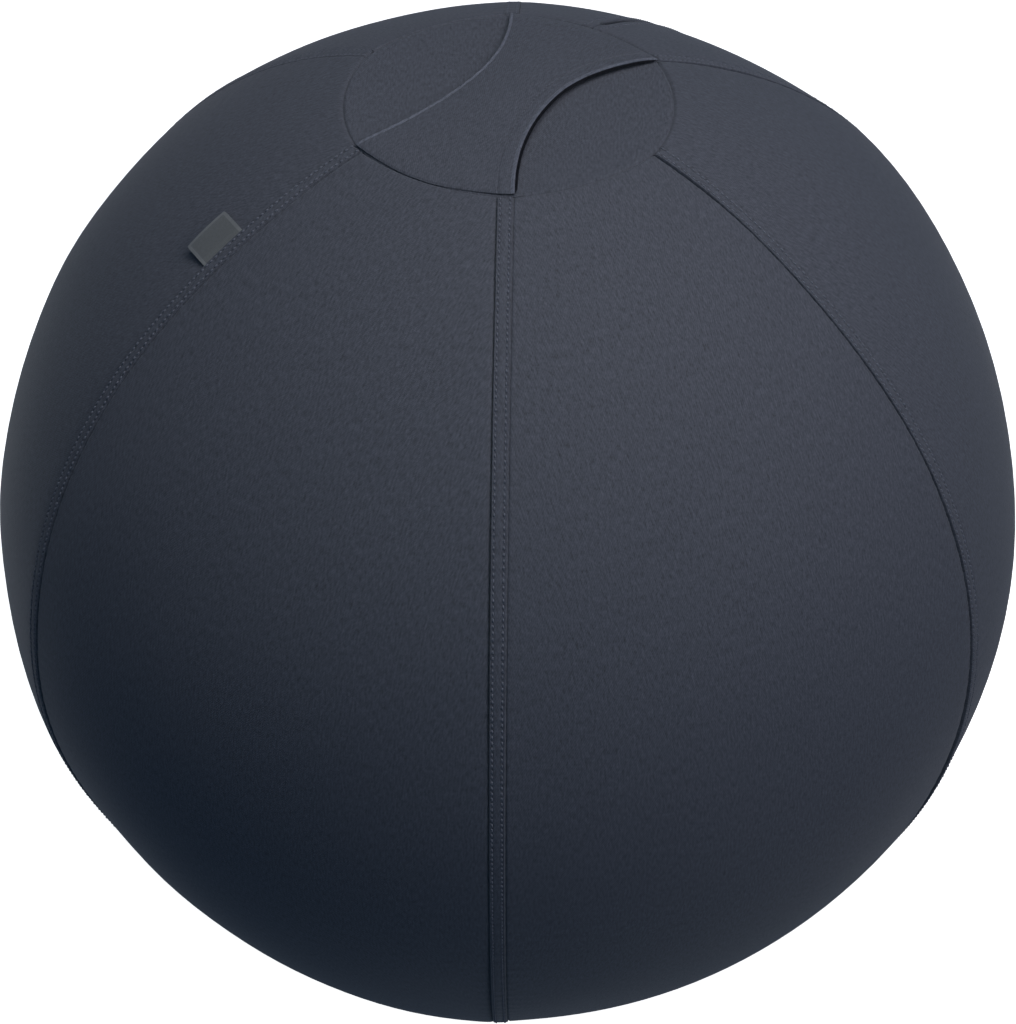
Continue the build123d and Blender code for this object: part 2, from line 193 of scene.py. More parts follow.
STRAP_FOLD = ((0.9 * MM, 0.6 * MM, 0.3 * MM), (2.1 * MM, 0.4 * MM, -0.2 * MM))  # from an edge
STRAP_TUCK = ((0, 5 * MM, -0.9 * MM), (0, 0.6 * MM, -0.9 * MM))  # from an end
HEM_GROOVE = ((HEM_ROW, 0.55 * MM, -0.45 * MM),)
STRAP_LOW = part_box("carry_handle")[0].z
STRAP_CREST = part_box("carry_handle")[1].z - STRAP_THICKNESS - HEM_HEIGHT

# Discs
DISC_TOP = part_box("seat_disc")[1].z
DISC_CROWN = 0.5 * MM
SEAT_DEPTH = 2.4 * MM
SEAT_EDGE = ((0, 0.8 * MM, -1.3 * MM), (1 * MM, 8 * MM, 0.3 * MM))
BASE_DEPTH = 2.2 * MM
BASE_EDGE = ((0, 0.9 * MM, 1.2 * MM),)

# Label
LABEL_LENGTH = 30.0 * MM
LABEL_REACH = 17.0 * MM
LABEL_TUCK = 2.0 * MM  # part that is sewn in under the band
# width of the lighter border at the two ends, and of the painted highlight along the fold
LABEL_BORDER_AND_HIGHLIGHT = 2.0 * MM
LABEL_LAYER = 0.45 * MM
LABEL_FOLD = 0.62 * MM  # radius of the fold at its free edge
LABEL_ROOT = 0.25 * MM  # half the gap between its two layers at the root
LABEL_SUNK = 1.0 * MM  # the root, under the face of the cover
LABEL_RISE = 2.5 * MM  # where it has come up from there
LABEL_CORNER = 0.15  # share of its reach where it narrows to the free edge
LABEL_NARROW = 0.05
LABEL_BOW = 0.9 * MM
LABEL_TILT = math.radians(5)


# Meshes


def quads(rows, columns, first=0, closed=False):
    # faces of a grid of points stored row by row
    across = columns if closed else columns - 1
    i, j = np.meshgrid(np.arange(rows - 1), np.arange(across), indexing="ij")
    after = (j + 1) % columns
    corners = [i * columns + j, (i + 1) * columns + j, (i + 1) * columns + after, i * columns + after]
    return (np.stack(corners, axis=-1).reshape(-1, 4) + first).tolist()


def bridge(first, second):
    # triangles between two chains of points
    faces = []
    a = b = 0
    while a < len(first) - 1 or b < len(second) - 1:
        ahead_a = (a + 1) / max(len(first) - 1, 1)
        ahead_b = (b + 1) / max(len(second) - 1, 1)
        if b == len(second) - 1 or (a < len(first) - 1 and ahead_a <= ahead_b):
            faces.append([first[a], first[a + 1], second[b]])
            a += 1
        else:
            faces.append([first[a], second[b + 1], second[b]])
            b += 1
    return faces


def placed(name, data):
    made = bpy.data.objects.new(name, data)
    bpy.context.scene.collection.objects.link(made)
    return made


def mesh_piece(name, points, faces, weave, material, sharp=38):
    mesh = bpy.data.meshes.new(name)
    mesh.from_pydata(np.asarray(points).tolist(), [], faces)
    layer = mesh.uv_layers.new(name="weave")
    corner = np.empty(len(mesh.loops), np.int32)
    mesh.loops.foreach_get("vertex_index", corner)
    layer.data.foreach_set("uv", np.asarray(weave, np.float32)[corner].ravel())
    outward(mesh)
    mesh.shade_smooth()
    mesh.set_sharp_from_angle(angle=math.radians(sharp))
    mesh.materials.append(material)
    return placed(name, mesh)


def outward(mesh):
    # turns the faces of a closed mesh outwards
    work = bmesh.new()
    work.from_mesh(mesh)
    bmesh.ops.recalc_face_normals(work, faces=work.faces)
    work.to_mesh(mesh)
    work.free()


def shell(name, outer, inner, weave_outer, weave_inner, material):
    # closed mesh from a fine outer grid and a coarser inner grid with the same number of rows
    rows, fine = outer.shape[:2]
    coarse = inner.shape[1]
    inside = rows * fine
    faces = quads(rows, fine) + quads(rows, coarse, inside)
    for fine_edge, coarse_edge in ((0, 0), (fine - 1, coarse - 1)):
        for i in range(rows - 1):
            low = inside + i * coarse + coarse_edge
            faces.append([i * fine + fine_edge, (i + 1) * fine + fine_edge, low + coarse, low])
    for row in (0, rows - 1):
        over = [row * fine + j for j in range(fine)]
        under = [inside + row * coarse + j for j in range(coarse)]
        faces += bridge(over, under)
    points = np.concatenate([outer.reshape(-1, 3), inner.reshape(-1, 3)])
    weave = np.concatenate([weave_outer.reshape(-1, 2), weave_inner.reshape(-1, 2)])
    return mesh_piece(name, points, faces, weave, material)


def loops_piece(name, loops, weave, material, sharp=38):
    # closed mesh over a row of closed loops, each end closed by a fan around its middle
    rows, columns = loops.shape[:2]
    points = loops.reshape(-1, 3)
    faces = quads(rows, columns, closed=True)
    weave = weave.reshape(-1, 2)
    for row in (0, rows - 1):
        tip = len(points)
        points = np.concatenate([points, loops[row].mean(axis=0)[None]])
        weave = np.concatenate([weave, weave[row * columns : (row + 1) * columns].mean(axis=0)[None]])
        ring = [row * columns + j for j in range(columns)]
        faces += [[ring[j], ring[(j + 1) % columns], tip] for j in range(columns)]
    return mesh_piece(name, points, faces, weave, material, sharp)


def bead():
    # points and faces of a small round bead of unit half size
    around, rings = 6, 3
    points = [(-1.0, 0.0, 0.0)]
    for ring in range(rings):
        turn = math.pi * (ring + 1) / (rings + 1)
        for spoke in range(around):
            angle = 2 * math.pi * spoke / around
            out = math.sin(turn)
            points.append((-math.cos(turn), out * math.cos(angle), out * math.sin(angle)))
    points.append((1.0, 0.0, 0.0))
    faces = []
    last = len(points) - 1
    for spoke in range(around):
        after = (spoke + 1) % around
        faces.append([0, 1 + after, 1 + spoke])
        for ring in range(rings - 1):
            low = 1 + ring * around
            faces.append([low + spoke, low + after, low + around + after, low + around + spoke])
        high = 1 + (rings - 1) * around
        faces.append([last, high + spoke, high + after])
    return np.array(points), faces


def stitches(name, spots, along, up, material, size=STITCH):
    # one bead of thread of a length, width and height at each spot
    length, width, height = size
    along = along / np.linalg.norm(along, axis=1, keepdims=True)
    side = np.cross(up, along)
    side /= np.linalg.norm(side, axis=1, keepdims=True)
    shape, ring = bead()
    points = (
        spots[:, None]
        + along[:, None] * shape[None, :, :1] * length / 2
        + side[:, None] * shape[None, :, 1:2] * width / 2
        + up[:, None] * shape[None, :, 2:] * height
    )
    faces = []
    for k in range(len(spots)):
        faces += [[corner + k * len(shape) for corner in face] for face in ring]
    weave = np.tile(shape[:, :2] * [length / 2, width / 2], (len(spots), 1))
    return mesh_piece(name, points.reshape(-1, 3), faces, weave, material, sharp=80)


# Cover


def step(low, high, value):
    t = np.clip((value - low) / (high - low), 0, 1)
    return t * t * (3 - 2 * t)


def bump(value, width):
    return np.exp(-((value / width) ** 2))


def relief(distance, bumps):
    # sum of rises and dips, each with its place, spread and height
    return sum(height * bump(distance - place, spread) for place, spread, height in bumps)


def pucker(distance, run, waves):
    height, spread, pitch, phase = waves
    return height * bump(distance, spread) * np.sin(2 * math.pi * run / pitch + phase)


def stitch_pull(run, least, more):
    return least + more * (0.5 + 0.5 * np.cos(2 * math.pi * run / STITCH_PITCH))


def filled(left, right, count):
    # two groups of places, with evenly spaced ones between them
    share = np.linspace(0, 1, count + 2)[1:-1]
    between = left[..., -1:] + (right[..., :1] - left[..., -1:]) * share
    return np.concatenate([left, between, right], axis=-1)


def turned(points, angle):
    c, s = math.cos(angle), math.sin(angle)
    x, y, z = points[..., 0], points[..., 1], points[..., 2]
    return np.stack([x * c - y * s, x * s + y * c, z], axis=-1)


def arm(turn):
    return SET_BACK + RADIUS * np.sin(turn)


def on_panel(turn, swing, height):
    # point of a panel with its middle at +X: turn from straight up, swing across the panel
    reach = SET_BACK + (RADIUS + height) * np.sin(turn)
    return np.stack(
        [
            reach * np.cos(swing) - SET_BACK,
            reach * np.sin(swing),
            CENTER + (RADIUS + height) * np.cos(turn) + 0 * swing,
        ],
        axis=-1,
    )


def panel_normal(turn, swing):
    out = np.sin(turn)
    return np.stack([out * np.cos(swing), out * np.sin(swing), np.cos(turn) + 0 * swing], axis=-1)


def start_swing(turn):
    # edge of a panel at the seam where its band runs
    shift = SET_BACK * math.sin(HALF_PANEL) - BAND_EDGE + SEAM_GAP / 2
    return np.arcsin(shift / arm(turn)) - HALF_PANEL


def end_swing(turn):
    # edge of a panel that goes under the band of the next one
    shift = SET_BACK * math.sin(HALF_PANEL) + BAND_EDGE + SEAM_GAP / 2
    return HALF_PANEL - np.arcsin(shift / arm(turn))


def slot_half(run):
    # half width of the zip's slot at a distance from the rim
    first = RADIUS * (ZIP_TOP - RIM_TURN)
    last = RADIUS * (ZIP_BOTTOM - RIM_TURN)
    opened = step(first, first + SLOT_TAPER, run) * (1 - step(last - SLOT_TAPER, last, run))
    return SEAM_GAP / 2 + (SLOT_HALF - SEAM_GAP / 2) * opened


def slot_swing(turn, side):
    run = RADIUS * (turn - RIM_TURN)
    return side * np.arcsin(slot_half(run) / arm(turn))


def rolled(distance, radius, depth):
    # quarter round down to an edge
    t = np.clip(1 - distance / radius, 0, 1)
    return -depth * (1 - np.sqrt(1 - t * t))


def band_height(distance, run, seam):
    # band along a seam: raised, pulled in along two rows of stitches, with a groove along its far border
    opened, raised = SEAM_OPEN[seam], SEAM_RAISE[seam]
    flat = BAND_HEIGHT * (1 - step(BAND_WIDTH - 0.2 * MM, BAND_WIDTH + 0.3 * MM, distance))
    dent = sum(bump(distance - row, STITCH_DENT) for row in STITCH_ROWS)
    band = flat + relief(distance, BAND_GROOVE) - dent * stitch_pull(run, *BAND_PULL)
    radius = FOLD_RADIUS[0] + FOLD_RADIUS[1] * opened
    depth = FOLD_DEPTH[0] * raised + FOLD_DEPTH[1] * opened
    fold = rolled(distance, radius, depth)
    return raised * band + fold + pucker(distance - BAND_WIDTH, run, BAND_PUCKER)


def tucked_height(distance, run, seam):
    # edge that goes under the next band
    opened, raised = SEAM_OPEN[seam], SEAM_RAISE[seam]
    width = TUCKED_WIDTH[0] + TUCKED_WIDTH[1] * opened
    depth = (TUCKED_DEPTH[0] * raised + TUCKED_DEPTH[1] * opened) * stitch_pull(run, *TUCKED_PULL)
    dip = relief(distance, TUCKED_DIP) - depth * bump(distance, width)
    return pucker(distance, run, TUCKED_PUCKER) + dip


def lip_height(distance, run):
    # folded edge beside the zip with one row of stitches
    pull = bump(distance - ZIP_ROW_INSET, STITCH_DENT) * stitch_pull(run, *LIP_PULL)
    rise = LIP_RISE * (1 - step(ZIP_ROW_INSET, LIP_WIDTH, distance))
    return rise + rolled(distance, LIP_RADIUS, LIP_DEPTH) - pull


def end_height(run):
    # edges that go down into the seams around the two discs
    return relief(np.minimum(run, PANEL_LENGTH - run), PANEL_ENDS)


def direction(around, above):
    out = np.cos(above)
    return np.stack([out * np.cos(around), out * np.sin(around), np.sin(above) + 0 * around], axis=-1)


def lean(turn, swing, index):
    # how far the cover stands out of the round
    place = direction(index * 2 * HALF_PANEL + swing, math.pi / 2 - turn)
    total = 0 * swing
    for around, above, spread, size in UNEVEN:
        middle = direction(np.radians(around), np.radians(above))
        away = np.arccos(np.clip(place @ middle, -1, 1))
        total = total + size * bump(away, math.radians(spread))
    return total


def drift(turn, swing, index):
    # slow unevenness of a blown-up panel
    run = RADIUS * (turn - RIM_TURN)
    side = arm(turn) * swing
    total = lean(turn, swing, index)
    for order, (tall, wide, size) in enumerate(WAVES):
        phase = index * WAVE_SHIFT[0] + order * WAVE_SHIFT[1]
        total = total + size * np.sin(2 * math.pi * (run / tall + side / wide) + phase)
    return total


def bowed(points):
    # moves what lies beside a bowed seam along with it
    x, y, z = points[..., 0], points[..., 1], points[..., 2]
    flat = np.hypot(x, y)
    around = np.arctan2(y, x)
    turn = np.arctan2(flat, z - CENTER)
    moved = 0 * around
    for seam, place, spread, size in SEAM_BOWS:
        away = around - (2 * seam - 1) * HALF_PANEL
        away = (away + math.pi) % (2 * math.pi) - math.pi
        share = bump(turn - math.radians(place), math.radians(spread)) * bump(away, BOW_REACH)
        moved = moved + size * share / flat
    c, s = np.cos(moved), np.sin(moved)
    return np.stack([x * c - y * s, x * s + y * c, z], axis=-1)


START_STEPS = np.concatenate(
    [
        [0, 0.1, 0.25, 0.6, 1.2, 1.75, 2.3, 3.2, 4.5, 5.8, 6.7, 7.25, 7.8],
        [8.6, 8.8, 9.0, 9.15, 9.3, 9.55, 9.9, 10.4, 11.2, 14],
    ]
) * MM
END_STEPS = np.array([12, 8, 5.5, 3.8, 2.6, 1.8, 1.2, 0.7, 0.3, 0]) * MM
LIP_STEPS = np.array([0, 0.15, 0.4, 0.8, 1.3, 2.5, 4.0, 5.0, 5.5, 6.0, 7.2, 9, 11.5, 15]) * MM
NEAR_EDGE = np.array([0, 0.25, 0.6, 1.1]) * MM


def panel_rows():
    runs = np.linspace(0, PANEL_LENGTH, 2 * STITCH_COUNT + 1)[1:-1]
    return np.concatenate([NEAR_EDGE, runs, (PANEL_LENGTH - NEAR_EDGE)[::-1]])


def on_cover(piece):
    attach(piece, "cover")


def panel_section(turn, starts, ends, middle):
    # the two edges of a panel, and the places across it
    first = start_swing(turn) if starts == "seam" else slot_swing(turn, 1)
    last = end_swing(turn) if ends == "seam" else slot_swing(turn, -1)
    near = START_STEPS if starts == "seam" else LIP_STEPS
    far = END_STEPS if ends == "seam" else LIP_STEPS[::-1]
    return first, last, filled(first + near / arm(turn), last - far / arm(turn), middle)


def panel_edges(from_start, from_end, run, index, starts, ends):
    # height of the cloth along the two edges of a panel
    if starts == "seam":
        near = band_height(from_start, run, index)
    else:
        near = lip_height(from_start, run)
    if ends == "seam":
        far = tucked_height(from_end, run, (index + 1) % PANELS)
    else:
        far = lip_height(from_end, run)
    return near + far


def panel_inside(turn, run, first, last, index):
    # places across the inner face of a panel, and its points
    share = np.linspace(0, 1, INNER_COLUMNS)
    swing = first + (last - first) * share
    at_side = np.where(np.abs(share - 0.5) < 0.5, 0.0, 1.0)
    at_end = bump(np.minimum(run, PANEL_LENGTH - run), EDGE_FOLD)
    thickness = CLOTH + (EDGE_CLOTH - CLOTH) * np.maximum(at_side, at_end)
    return swing, on_panel(turn, swing, lean(turn, swing, index) - thickness)


def panel_piece(name, index, material, starts="seam", ends="seam", middle=22):
    # one panel, or the part of it on one side of the zip
    angle = index * 2 * HALF_PANEL
    run = panel_rows()[:, None]
    turn = RIM_TURN + run / RADIUS
    first, last, swing = panel_section(turn, starts, ends, middle)
    from_start = (swing - first) * arm(turn)
    from_end = (last - swing) * arm(turn)
    height = end_height(run) + drift(turn, swing, index)
    height = height + panel_edges(from_start, from_end, run, index, starts, ends)
    inner_swing, inner = panel_inside(turn, run, first, last, index)
    weave_outer = np.stack([swing * arm(turn), run + 0 * swing], axis=-1)
    weave_inner = np.stack([inner_swing * arm(turn), run + 0 * inner_swing], axis=-1)
    outer = bowed(turned(on_panel(turn, swing, height), angle))
    inner = bowed(turned(inner, angle))
    piece = shell(name, outer, inner, weave_outer, weave_inner, material)
    on_cover(piece)
    return piece


def seam_stitches(name, index, material):
    # the two rows of stitches on the band at the start of a panel
    angle = index * 2 * HALF_PANEL
    run = (np.arange(STITCH_COUNT) + 0.5) * STITCH_PITCH
    turn = RIM_TURN + run / RADIUS
    spots, following, up = [], [], []
    for row in STITCH_ROWS:
        swing = start_swing(turn) + row / arm(turn)
        ahead = turn + STITCH_AHEAD / RADIUS
        ahead_swing = start_swing(ahead) + row / arm(ahead)
        height = band_height(row, run, index) + drift(turn, swing, index)
        height = height + end_height(run) + STITCH_LIFT
        spots.append(on_panel(turn, swing, height))
        following.append(on_panel(ahead, ahead_swing, height))
        up.append(panel_normal(turn, swing))
    spots, following, up = (turned(np.concatenate(part), angle) for part in (spots, following, up))
    spots = bowed(spots)
    along = bowed(following) - spots
    size = (STITCH[0], STITCH[1], STITCH[2] * SEAM_RAISE[index])
    piece = stitches(name, spots, along, up, material, size=size)
    on_cover(piece)
    return piece


def zip_stitches(name, side, index, material):
    # row of stitches beside the zip
    run = (np.arange(STITCH_COUNT) + 0.5) * STITCH_PITCH
    turn = RIM_TURN + run / RADIUS
    kept = turn < ZIP_BOTTOM + ZIP_ROW_PAST / RADIUS
    run, turn = run[kept], turn[kept]
    swing = slot_swing(turn, side) + side * ZIP_ROW_INSET / arm(turn)
    ahead = turn + STITCH_AHEAD / RADIUS
    ahead_swing = slot_swing(ahead, side) + side * ZIP_ROW_INSET / arm(ahead)
    height = lip_height(ZIP_ROW_INSET, run) + drift(turn, swing, index) + end_height(run) + STITCH_LIFT
    spots = on_panel(turn, swing, height)
    along = on_panel(ahead, ahead_swing, 0) - on_panel(turn, swing, 0)
    up = panel_normal(turn, swing)
    spots, along, up = (turned(part, ZIP_ANGLE) for part in (spots, along, up))
    piece = stitches(name, spots, along, up, material)
    on_cover(piece)
    return piece


# Discs


def outline(angle, radius):
    # round outline of a disc: one arc per panel
    swing = (angle + HALF_PANEL) % (2 * HALF_PANEL) - HALF_PANEL
    return np.sqrt((radius + SET_BACK) ** 2 - (SET_BACK * np.sin(swing)) ** 2) - SET_BACK * np.cos(swing)


DISC_STEPS = 240
DISC_SHARES = np.concatenate([np.linspace(0.02, 0.94, 24), [0.955, 0.968, 0.98, 0.988, 0.993, 0.997, 1.0]])
INNER_SHARES = DISC_SHARES[::-4]  # the inner face has every fourth ring


def disc_piece(name, radius, top, under, material):
    # closed disc from the heights of its two faces over the share of its radius
    angle = np.linspace(0, 2 * math.pi, DISC_STEPS, endpoint=False)
    edge = outline(angle, radius - SEAM_GAP / 2)
    shares = np.concatenate([DISC_SHARES, INNER_SHARES])
    heights = np.concatenate([top(DISC_SHARES * radius), under(INNER_SHARES * radius)])
    reach = shares[:, None] * edge
    loops = np.stack([reach * np.cos(angle), reach * np.sin(angle), heights[:, None] + 0 * reach], axis=-1)
    piece = loops_piece(name, loops, loops[..., :2], material)
    on_cover(piece)
    return piece


def seat_top(reach):
    dome = DISC_TOP - DISC_CROWN * (reach / RIM_RADIUS) ** 2
    return dome + relief(RIM_RADIUS - reach, SEAT_EDGE)


def seat_under(reach):
    return DISC_TOP - SEAT_DEPTH + 0 * reach


def ball_under(reach, lift=0.0):
    # underside of the ball: the flat patch, then the round
    return np.maximum(CENTER - np.sqrt((RADIUS - lift) ** 2 - reach**2), lift)


def base_low(reach):
    return ball_under(reach) + relief(BASE_RADIUS - reach, BASE_EDGE)


def base_high(reach):
    return ball_under(reach, BASE_DEPTH)


# Strap


def strap_half(along, side):
    # half width of the strap at a distance from its middle, positive to the rear
    waist, place, front, rear = STRAP_EDGES[side]
    to_front = (front - waist) * ((place - along) / (place + STRAP_CORNER_REACH)) ** 2
    to_rear = (rear - waist) * ((along - place) / (STRAP_CORNER_REACH - place)) ** 2
    return waist + np.where(along < place, to_front, to_rear)


def strap_reach(share, side, end):
    # distance from the middle of the strap to its end in the seam, at a share of its width
    reach = np.full_like(share, RIM_RADIUS)
    for _ in range(8):  # rounds, until it lies on the outline
        across = share * strap_half(end * reach, side)
        edge = outline(np.arctan2(across, reach), RIM_RADIUS - STRAP_SEAM)
        reach = np.sqrt(edge**2 - across**2)
    return reach


def strap_point(along, across, height):
    # along is positive to the rear and across is positive to the right, seen from the front
    c, s = math.cos(STRAP_ANGLE), math.sin(STRAP_ANGLE)
    return np.stack([along * c + across * s, along * s - across * c, height], axis=-1)


def strap_low(along):
    return STRAP_LOW + (STRAP_CREST - STRAP_LOW) * (1 - (along / RIM_RADIUS) ** 2)


STRAP_EDGE_STEPS = np.concatenate(
    [
        [0, 0.12, 0.35, 0.8, 1.5, 2.0, 2.6],
        [5.0, 7.5, 8.3, 8.8, 9.3, 9.8, 10.6, 12],
    ]
) * MM
STRAP_EDGE_FACES = 5  # rows of faces in the fold along each edge that carry the painted highlight
SHADE_STRIP_SHOW = 1.3 * MM  # how far the strip of painted shade, which stands for the shadow in the gap under the strap, reaches out under the right edge, at the middle
SHADE_STRIP_TAPER = 0.35  # share by which it grows to the front and shrinks to the rear
SHADE_STRIP_END = 0.05  # share of the strap's half over which it goes in at the seam
UNDERSIDE_LIFT = 0.05 * MM
STRAP_MIDDLE = 14
UNDER_STEP = 3  # the underside has every third column
STRAP_ROWS = np.concatenate([np.linspace(0, 0.95, 60), [0.962, 0.974, 0.984, 0.991, 0.996, 1.0]])


def strap_section(half_left, half_right):
    # places across the strap, from the left edge to the right edge
    left = -half_left[..., None] + STRAP_EDGE_STEPS
    right = half_right[..., None] - STRAP_EDGE_STEPS[::-1]
    return filled(left, right, STRAP_MIDDLE)


def strap_sag(edge, share):
    return STRAP_SAG * bump(edge, SAG_REACH) * np.cos(0.5 * math.pi * share)


def strap_top(left, right, from_end):
    # height over the underside: hem along the right edge, folds along both edges, ends tucked into the seam
    edge = np.minimum(left, right)
    hem = HEM_HEIGHT * (1 - step(HEM_WIDTH - 0.4 * MM, HEM_WIDTH + 0.5 * MM, right))
    folds = relief(edge, STRAP_FOLD) + rolled(edge, STRAP_RADIUS, STRAP_ROLL)
    return STRAP_THICKNESS + hem + relief(right, HEM_GROOVE) + folds + relief(from_end, STRAP_TUCK)


def strap_ride(piece):
    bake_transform(piece)


def strap_edge_faces(faces, over, under):
    # second material, a painted highlight, on the folds along both edges of the upper face;
    # third material, painted shade for the shadow in the gap under the strap, on the right side;
    # the faces come in the order upper face, underside, left side, right side
    spans = len(STRAP_ROWS) - 1
    for face in range(spans * over):
        column = face % over
        if min(column, over - 1 - column) < STRAP_EDGE_FACES:
            faces[face].material_index = 1
    right_side = spans * (over + under + 1)
    for face in range(right_side, right_side + spans):
        faces[face].material_index = 2


def strap_piece(name, end, material, painted_highlight_material, painted_shade_material):
    # front (-1) or rear (+1) half of the strap
    rows = STRAP_ROWS[:, None]
    count = 2 * len(STRAP_EDGE_STEPS) + STRAP_MIDDLE
    share = np.linspace(-1, 1, count)[None]
    for _ in range(4):  # rounds, until places across and along fit each other
        reach = np.where(share > 0, strap_reach(share, "right", end), strap_reach(-share, "left", end))
        along = rows * reach
        half_left = strap_half(end * along[:, 0], "left")
        half_right = strap_half(end * along[:, -1], "right")
        across = strap_section(half_left, half_right)
        share = np.where(across > 0, across / half_right[:, None], across / half_left[:, None])
    left, right = across + half_left[:, None], half_right[:, None] - across
    low = strap_low(along) - strap_sag(np.minimum(left, right), rows)
    over = strap_point(end * along, across, low + strap_top(left, right, reach - along))
    # the underside's right edge reaches out past the upper face, so that the side faces there show as a
    # dark strip: painted shade for the shadow in the gap under the strap
    shaded_across = across.copy()
    shade_strip_show = SHADE_STRIP_SHOW * (1 - SHADE_STRIP_TAPER * end * STRAP_ROWS)
    shaded_across[:, -1] += shade_strip_show * np.clip((1 - STRAP_ROWS) / SHADE_STRIP_END, 0, 1)
    under = strap_point(end * along, shaded_across, low + UNDERSIDE_LIFT)
    weave = np.stack([across, end * along], axis=-1)
    kept = np.append(np.arange(0, count - 1, UNDER_STEP), count - 1)
    piece = shell(name, over, under[:, kept], weave, weave[:, kept], material)
    piece.data.materials.append(painted_highlight_material)
    piece.data.materials.append(painted_shade_material)
    strap_edge_faces(piece.data.polygons, count - 1, len(kept) - 1)
    strap_ride(piece)
    return piece


def strap_stitches(name, end, material):
    # stitch line of the hem along the right edge
    along = np.arange(0.5, HEM_ROW_END / STITCH_PITCH) * STITCH_PITCH
    spots = []
    for place in (along, along + MM):
        sag = strap_sag(HEM_ROW, place / HEM_REACH)
        height = strap_low(place) - sag + strap_top(1.0, np.full_like(place, HEM_ROW), 1.0) + STITCH_LIFT
        spots.append(strap_point(end * place, strap_half(end * place, "right") - HEM_ROW, height))
    up = np.zeros_like(spots[0])
    up[:, 2] = 1
    piece = stitches(name, spots[0], spots[1] - spots[0], up, material, size=HEM_STITCH)
    strap_ride(piece)
    return piece


# Label


def label_axes():
    # where the label turns, and its directions: along the seam, away from the seam and up from the cover
    hinge = joints["label_flip"]
    root = np.array(hinge["pos_m"])
    seam = np.array(hinge["axis"])
    out = np.array([root[0], root[1], root[2] - CENTER])
    out -= seam * (out @ seam)
    out /= np.linalg.norm(out)
    away = np.cross(out, seam)
    if away @ np.array([root[1], -root[0], 0]) < 0:
        away = -away
    cos, sin = math.cos(LABEL_TILT), math.sin(LABEL_TILT)
    return root, seam, away * cos + out * sin, out * cos - away * sin


def label_section():
    # outline of the folded ribbon across the seam, and how far along the ribbon its points are
    reach = np.linspace(-LABEL_TUCK, LABEL_REACH - LABEL_FOLD, 20)
    sunk = -LABEL_SUNK * (1 - step(-LABEL_TUCK, LABEL_RISE, reach))
    half = LABEL_ROOT + (LABEL_FOLD - LABEL_ROOT) * step(-LABEL_TUCK, LABEL_REACH, reach)
    turn = np.linspace(-0.5 * math.pi, 0.5 * math.pi, 9)[1:-1]
    under = np.stack([reach, sunk - half], axis=-1)
    rounded = LABEL_FOLD * np.stack([np.cos(turn), np.sin(turn)], axis=-1)
    rounded[:, 0] += LABEL_REACH - LABEL_FOLD
    over = np.stack([reach, sunk + half], axis=-1)[::-1]
    line = np.concatenate([under, rounded, over])
    slope = np.gradient(line, axis=0)
    normal = np.stack([slope[:, 1], -slope[:, 0]], axis=-1)
    normal /= np.linalg.norm(normal, axis=1, keepdims=True)
    outer, inner = line + normal * LABEL_LAYER / 2, line - normal * LABEL_LAYER / 2
    length = np.concatenate([[0], np.cumsum(np.linalg.norm(np.diff(line, axis=0), axis=1))])
    length = np.concatenate([length, length[::-1]]) - length[-1] / 2
    return np.concatenate([outer, inner[::-1]]), length


def label_piece(name, material):
    # folded ribbon standing off the cover beside the left seam
    root, seam, reach_way, up_way = label_axes()
    section, length = label_section()
    reach = section[:, 0]
    at_edge = np.clip((reach / LABEL_REACH - 1) / LABEL_CORNER + 1, 0, 1)
    narrow = 1 - LABEL_NARROW * at_edge**2
    places = np.linspace(-0.5, 0.5, 25)
    loops, weave = [], []
    for place in places:
        bow = LABEL_BOW * (1 - (2 * place) ** 2) * (np.clip(reach, 0, None) / LABEL_REACH) ** 2
        point = root + np.outer(reach, reach_way) + np.outer(section[:, 1] + bow, up_way)
        point = point + np.outer(place * LABEL_LENGTH * narrow, seam)
        loops.append(bowed(point))
        weave.append(np.stack([np.full_like(length, place * LABEL_LENGTH), length], axis=-1))
    piece = loops_piece(name, np.array(loops), np.array(weave), material, sharp=60)
    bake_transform(piece)
    return piece


# Zip


def on_zip(radius, turn, side):
    # point at a distance from the ball's middle, on the zip's plane moved sideways
    flat = radius * np.sin(turn)
    c, s = math.cos(ZIP_ANGLE), math.sin(ZIP_ANGLE)
    return np.stack([flat * c - side * s, flat * s + side * c, CENTER + radius * np.cos(turn)], axis=-1)


def tape_piece(name, node, side, material):
    turn = np.linspace(ZIP_TOP - TAPE_ABOVE, ZIP_BOTTOM + TAPE_BELOW, TAPE_ROWS)
    there_and_back = np.concatenate([TAPE_ACROSS, TAPE_ACROSS[::-1]])
    level = np.repeat([TAPE_HIGH, TAPE_LOW], len(TAPE_ACROSS))
    loops, weave = [], []
    for place in turn:
        loops.append(on_zip(level, place, side * there_and_back))
        weave.append(np.stack([there_and_back, np.full_like(there_and_back, place * RADIUS)], axis=-1))
    piece = loops_piece(name, np.array(loops), np.array(weave), material)
    on_cover(piece)
    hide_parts(node)
    return piece


def tooth_section():
    # outline of one tooth: a foot on the tape and a rounder head towards the middle
    return np.concatenate([TOOTH_HALF, TOOTH_HALF[::-1] * [1, -1]])


def teeth_piece(name, node, side, material):
    first = ZIP_TOP + TEETH_INSET
    last = ZIP_BOTTOM - TEETH_INSET
    count = int((last - first) * RADIUS / TOOTH_PITCH)
    section = tooth_section()
    middle = section.mean(axis=0)
    size = len(section)
    points, faces, weave = [], [], []
    for k in range(count):
        place = first + (k + TEETH_SHIFT[side]) * TOOTH_PITCH / RADIUS
        start = len(points)
        for level, scale in TOOTH_LAYERS:
            for across, run in middle + (section - middle) * scale:
                points.append(on_zip(level, place + run / RADIUS, side * across))
                weave.append((across, place * RADIUS + run))
        faces += quads(len(TOOTH_LAYERS), size, start, closed=True)
        top = start + (len(TOOTH_LAYERS) - 1) * size
        faces.append([start + j for j in range(size)])
        faces.append([top + j for j in range(size)])
    piece = mesh_piece(name, np.array(points), faces, np.array(weave), material)
    on_cover(piece)
    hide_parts(node)
    return piece


# Materials

